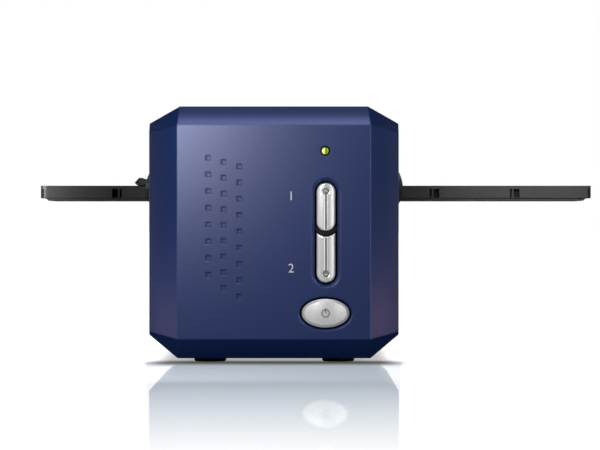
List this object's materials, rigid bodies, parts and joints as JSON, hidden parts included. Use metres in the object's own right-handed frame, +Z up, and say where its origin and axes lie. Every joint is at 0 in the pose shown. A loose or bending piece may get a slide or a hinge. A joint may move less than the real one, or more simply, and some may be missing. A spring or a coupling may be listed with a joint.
{
  "type": "film negative scanner",
  "caption": "Desktop film negative scanner: chamfered box with press buttons on its front and a strip film holder that slides through slots in both sides, past hinged dust doors.",
  "frame": {"origin": "on the table, in the plane of the feet, under the centre of the body", "axes": "+X to the user's right along the film holder, +Y from the front panel to the rear panel, +Z up"},
  "size_m": [0.2606, 0.2732, 0.119],
  "materials": {
    "casing_blue": "satin metallic paint",
    "button_silver": "satin silver paint",
    "inner_black": "moulded",
    "holder_black": "fine moulded grain",
    "slot_grey": "moulded",
    "door_grey": "moulded",
    "light_green": "clear moulded",
    "foot_rubber": "moulded",
    "circuit_board": "solder mask",
    "chip_black": "moulded",
    "steel": "bright zinc",
    "die_cast": "as cast",
    "bush_bronze": "sintered",
    "gear_white": "moulded",
    "mirror_glass": "front silvered",
    "lens_glass": "coated",
    "lamp_white": "opal"
  },
  "bodies": {
    "root": {"front_panel": "casing_blue", "upper_housing": "casing_blue", "lower_housing": "casing_blue", "rear_panel": "casing_blue", "slot_frame_left": "slot_grey", "slot_frame_right": "slot_grey", "rubber_foot_front_left": "foot_rubber", "rubber_foot_front_right": "foot_rubber", "rubber_foot_rear_left": "foot_rubber", "rubber_foot_rear_right": "foot_rubber", "button_plate": "inner_black", "button_board": "circuit_board", "button_board_screws": "steel", "tact_switches": "chip_black", "status_light": "light_green", "rear_panel_screws": "steel", "guide_rods": "steel", "motor_bracket": "die_cast", "gear_axle": "steel", "stepper_motor": "steel", "chassis": "die_cast", "chassis_screws": "steel", "fold_mirror": "mirror_glass", "mirror_cradle": "inner_black", "lens_barrel": "inner_black", "lens_glass": "lens_glass", "lens_clamp": "steel", "sensor_board": "circuit_board", "image_sensor": "chip_black", "lamp_housing": "inner_black", "lamp_tube": "lamp_white", "lamp_diffuser": "lamp_white", "lamp_bridge": "die_cast", "main_board": "circuit_board", "main_board_screws": "steel", "main_board_chips": "chip_black", "usb_socket": "steel", "power_jack": "chip_black"},
    "film_stage": {"film_stage": "inner_black", "stage_bushes": "bush_bronze", "detent_spring": "steel", "stage_rack": "gear_white"},
    "film_holder": {"film_holder_base": "holder_black", "film_holder_cover": "holder_black", "holder_hinge_pins": "steel"},
    "drive_gear": {"drive_gear": "gear_white"},
    "motor_pinion": {"motor_pinion": "gear_white"},
    "scan_button_upper": {"scan_button_upper": "button_silver"},
    "scan_button_lower": {"scan_button_lower": "button_silver"},
    "power_button": {"power_button": "button_silver"},
    "dust_door_left": {"dust_door_left": "door_grey"},
    "dust_door_right": {"dust_door_right": "door_grey"}
  },
  "joints": [
    {"name": "stage_slide", "type": "slide", "parent": "root", "child": "film_stage", "axis": [0, 1, 0], "range_m": [0, 0.028]},
    {"name": "film_holder_slide", "type": "slide", "parent": "film_stage", "child": "film_holder", "axis": [1, 0, 0], "range_m": [-0.114, 0.076]},
    {"name": "drive_gear_spin", "type": "hinge", "parent": "root", "child": "drive_gear", "pos_m": [0.0285, -0.04, 0.05], "axis": [1, 0, 0], "range_deg": [-165, 5]},
    {"name": "motor_pinion_spin", "type": "hinge", "parent": "root", "child": "motor_pinion", "pos_m": [0.0285, -0.02574, 0.04274], "axis": [1, 0, 0], "range_deg": [-5, 275]},
    {"name": "scan_button_upper_press", "type": "slide", "parent": "root", "child": "scan_button_upper", "axis": [0, 1, 0], "range_m": [0, 0.0008], "stiffness_N_per_m": 600, "springref_m": -0.0006},
    {"name": "scan_button_lower_press", "type": "slide", "parent": "root", "child": "scan_button_lower", "axis": [0, 1, 0], "range_m": [0, 0.0008], "stiffness_N_per_m": 600, "springref_m": -0.0006},
    {"name": "power_button_press", "type": "slide", "parent": "root", "child": "power_button", "axis": [0, 1, 0], "range_m": [0, 0.0008], "stiffness_N_per_m": 600, "springref_m": -0.0006},
    {"name": "dust_door_left_swing", "type": "hinge", "parent": "root", "child": "dust_door_left", "pos_m": [-0.0573, -0.0435, 0.085], "axis": [0, 1, 0], "range_deg": [0, 20]},
    {"name": "dust_door_right_swing", "type": "hinge", "parent": "root", "child": "dust_door_right", "pos_m": [0.0573, -0.0435, 0.085], "axis": [0, 1, 0], "range_deg": [0, 20]}
  ],
  "couplings": [
    {"joint": "drive_gear_spin", "follows": "stage_slide", "rad_per_m": -100},
    {"joint": "motor_pinion_spin", "follows": "stage_slide", "rad_per_m": 166.67}
  ]
}
